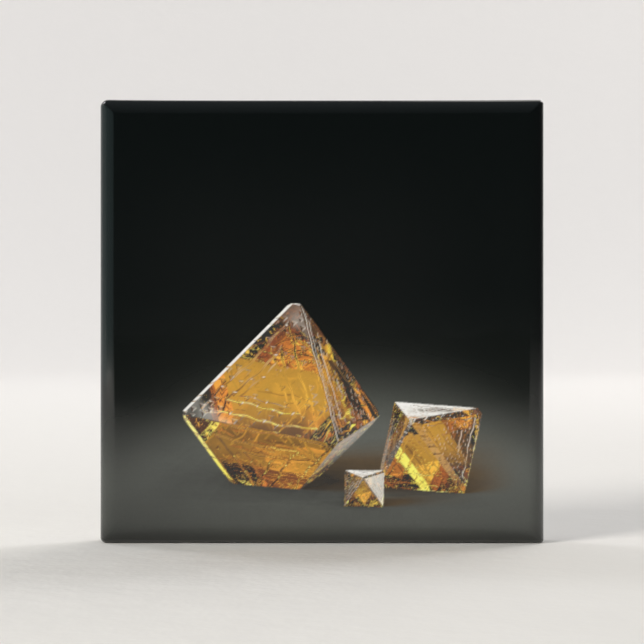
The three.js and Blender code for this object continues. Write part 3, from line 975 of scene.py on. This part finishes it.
def makeEars():
    # An ear is a plate with the rivet's hole. Its outline, seen from the hole, is the farther of
    # a round crown above and a square foot below.
    p = pinUnit
    sides, rings = 72, 6
    sheet = sides * rings
    a = np.linspace(0, 2 * np.pi, sides + 1)[:-1]
    crown = p.earCrown * np.sin(a)
    crown = crown + np.sqrt(crown ** 2 - p.earCrown ** 2 + p.earRound ** 2)
    down = np.where(np.sin(a) < 0, p.earFoot / np.abs(np.sin(a)), np.inf)
    foot = np.minimum(p.earRound / np.abs(np.cos(a)), down)
    outline = np.where(crown * np.sin(a) > p.earCrown, crown, foot)
    r = p.earHole + (outline - p.earHole) * np.linspace(0, 1, rings)[:, None]
    inner, outer = p.earGap, p.earGap + p.earThick
    points, faces = [], []
    for k, z in enumerate((-outer, -inner, inner, outer)):
        points.append(atPin(p.hingeX + r * np.cos(a), r * np.sin(a), z))
        faces += gridFaces(rings, sides, closed=True, start=k * sheet)
    for ear in (0, 2 * sheet):
        for row in (0, sheet - sides):
            wall = ear + row + np.arange(sides)
            faces += joined(wall, wall + sheet, closed=True)
    return bevel(putMesh("hinge_ears", np.concatenate(points), faces), p.edge)


def makeHousing():
    # A thick C carried along x. Seen from the pin's axis, its outside is the farther of a circle
    # and the foot block, its inside is the bore, and both stop at the slot.
    p = pinUnit
    a = slotted(p.housingRadius, p.slot, 96)
    b = slotted(p.housingBore, p.slot, 96)
    down = (p.footInBar - p.barTop) / np.abs(np.cos(a))
    foot = np.minimum(p.footHalf / np.abs(np.sin(a)), down)
    r = np.where(np.cos(a) < 0, np.maximum(p.housingRadius, foot), p.housingRadius)
    y = np.r_[r * np.cos(a), (p.housingBore * np.cos(b))[::-1]]
    z = np.r_[r * np.sin(a), (p.housingBore * np.sin(b))[::-1]]
    x = np.array(p.housing)[:, None]
    points = atPin(x, y, z)
    faces = gridFaces(2, len(y), closed=True)
    for end in np.arange(2 * len(y)).reshape(2, -1):
        faces += joined(end[:len(a)], end[:len(a) - 1:-1])
    return bevel(putMesh("catch_housing", points, faces), p.edge)


for piece in (makeBar(), makeEars(), makeHousing()):
    dress(piece, "badge", "nickel_bar", nickelFinish, "pin_bar")

# The rivet: a shank with a low domed head on each side, and a shallow dimple from the press in
# the middle of each.
rivet = Values(
    radius=0.5, head=0.95, headHeight=0.4, fullness=0.85, under=1.12, dimple=0.08, dimpleRadius=0.3,
    sides=48,
)


def lathe(along, radius, sides):
    # a profile turned round an axis: returns along, and the two directions across it
    a = np.linspace(0, 2 * np.pi, sides + 1)[:-1]
    radius = radius[:, None]
    return along[:, None] + 0 * a, radius * np.cos(a), radius * np.sin(a)


def makeRivet():
    # A head follows cos(a) across and sin(a)^fullness in height, less a dimple that follows
    # exp(-(radius / dimpleRadius)^4).
    r = rivet
    a = np.linspace(0, np.pi / 2, 14)
    radius = r.head * np.cos(a)
    height = r.under + r.headHeight * np.sin(a) ** r.fullness
    height = height - r.dimple * np.exp(-(radius / r.dimpleRadius) ** 4)
    along = np.r_[-height[::-1], -r.under, r.under, height]
    radii = np.r_[radius[::-1], r.radius, r.radius, radius]
    z, x, y = lathe(along, radii, r.sides)
    points = atPin(x + pinUnit.hingeX, y, z)
    faces = gridFaces(len(along), r.sides, closed=True)
    return putMesh("hinge_rivet_closed", points, faces, merge=0.002, sharp=50)


dress(makeRivet(), "badge", "nickel_rivet", nickelFinish, "hinge_rivet")

# The pin: hard-drawn wire with an eye at one end, ground to a point at the other. The wire
# swells where it runs into the eye.
pin = Values(
    radius=0.45, start=0.75, span=27.0, point=3.6, pointPower=0.7, swell=0.10, swellAt=0.9, swellReach=0.35,
    eyeRadius=1.15, eyeBore=0.55, eyeHalf=0.45, eyeSquare=0.35, sides=32, eyeSides=64, eyeSection=40,
)


def makePin():
    # The wire's radius is constant, then falls to the point as a power of the distance from the
    # tip. The eye is a ring, and its section is a superellipse close to a rectangle.
    p = pin
    shank = p.span - p.point
    ground = np.linspace(0, 1, 26)[1:] * p.point
    s = np.r_[np.linspace(p.start, shank, 12), shank + ground]
    tip = np.clip((p.span - s) / p.point, 0, 1)
    radius = p.radius * tip ** p.pointPower
    radius = radius + p.swell * np.exp(-((s - p.swellAt) / p.swellReach) ** 2)
    s = np.r_[s[0], s]
    radius = np.r_[0, radius]
    x, y, z = lathe(-s, radius, p.sides)
    wire = atPin(x + pinUnit.hingeX, y, z)
    faces = gridFaces(len(s), p.sides, closed=True)

    around, section = p.eyeSides, p.eyeSection
    a = np.linspace(0, 2 * np.pi, section + 1)[:-1]
    middle, wide = (p.eyeRadius + p.eyeBore) / 2, (p.eyeRadius - p.eyeBore) / 2
    ringRadius = middle + wide * np.sign(np.cos(a)) * np.abs(np.cos(a)) ** p.eyeSquare
    ringHeight = p.eyeHalf * np.sign(np.sin(a)) * np.abs(np.sin(a)) ** p.eyeSquare
    z, x, y = lathe(ringHeight, ringRadius, around)
    eye = atPin(x + pinUnit.hingeX, y, z).reshape(section, around, 3).transpose(1, 0, 2).reshape(-1, 3)
    faces += gridFaces(around, section, closed=True, start=len(wire))
    first = len(wire) + np.arange(section)
    faces += joined(first + (around - 1) * section, first, closed=True)
    return putMesh("pin_wire", np.r_[wire, eye], faces, merge=0.0005)


# Hard-drawn steel wire, ground and plated: near-white, with the finest lines along its length.
def drawnWire(tree, where):
    lines = drawnNoise(tree, where, 30, 0.25)
    return {
        "Base Color": rgba("#d6d7d9"),
        "Roughness": remap(tree, lines, (0.3, 0.7), (0.14, 0.24)),
        "Normal": relief(tree, lines, 0.002, 0.15),
        "Metallic": 1,
    }


wireFinish = newMaterial("hard_drawn_steel_wire_ground", drawnWire)
dress(makePin(), "pin", "pin_wire", wireFinish, "pin_stem")

# The catch: a slotted sleeve that turns in the housing, with a collar at each end and a thumb tab.
catch = Values(
    drum=1.0, collar=1.42, bore=0.62, slot=0.6, ends=(-13.41, -9.39), collarLong=0.55, round=0.07,
    tabRoot=0.9, tabReach=3.0, tabHalf=0.75, tabThick=0.55,
)


def makeSleeve():
    # A profile of (x, radius) runs round the collars, the drum and the bore. Each of its points is
    # carried from one side of the slot round to the other.
    c = catch
    x0, x1 = c.ends
    e, big, small, bore = c.round, c.collar, c.drum, c.bore
    inner0, inner1 = x0 + c.collarLong, x1 - c.collarLong
    profile = np.r_[
        bend((x0 + e, bore + e), e, 270, 180, 4),
        bend((x0 + e, big - e), e, 180, 90, 4),
        bend((inner0 - e, big - e), e, 90, 0, 4),
        [[inner0, small], [inner1, small]],
        bend((inner1 + e, big - e), e, 180, 90, 4),
        bend((x1 - e, big - e), e, 90, 0, 4),
        bend((x1 - e, bore + e), e, 0, -90, 4),
    ]
    x, r = profile.T
    a = slotted(r[:, None], c.slot, 80)
    points = atPin(x[:, None], r[:, None] * np.cos(a), r[:, None] * np.sin(a))
    numbers = np.arange(a.size).reshape(a.shape)
    faces = gridFaces(*a.shape) + joined(numbers[-1], numbers[0])
    faces += [numbers[:, 0].tolist(), numbers[::-1, -1].tolist()]
    return putMesh("catch_sleeve_turned", points, faces, sharp=40)


def makeTab():
    # a plate with a round end: two outlines joined by a wall, each filled by one flat face
    c = catch
    a = np.linspace(0, np.pi, 25)
    end = c.tabReach - c.tabHalf
    along = np.r_[c.tabRoot, end + c.tabHalf * np.sin(a), c.tabRoot]
    across = np.r_[c.tabHalf, c.tabHalf * np.cos(a), -c.tabHalf]
    x = np.array([c.ends[0], c.ends[0] + c.tabThick])[:, None]
    points = atPin(x, across, -along)
    size = len(along)
    faces = gridFaces(2, size, closed=True) + np.arange(2 * size).reshape(2, size).tolist()
    return bevel(putMesh("catch_thumb_tab", points, faces, merge=0.001), c.round)


for piece in (makeSleeve(), makeTab()):
    dress(piece, "catch", "nickel_sleeve", sleeveFinish, "catch_sleeve")
print("pin and catch are made")
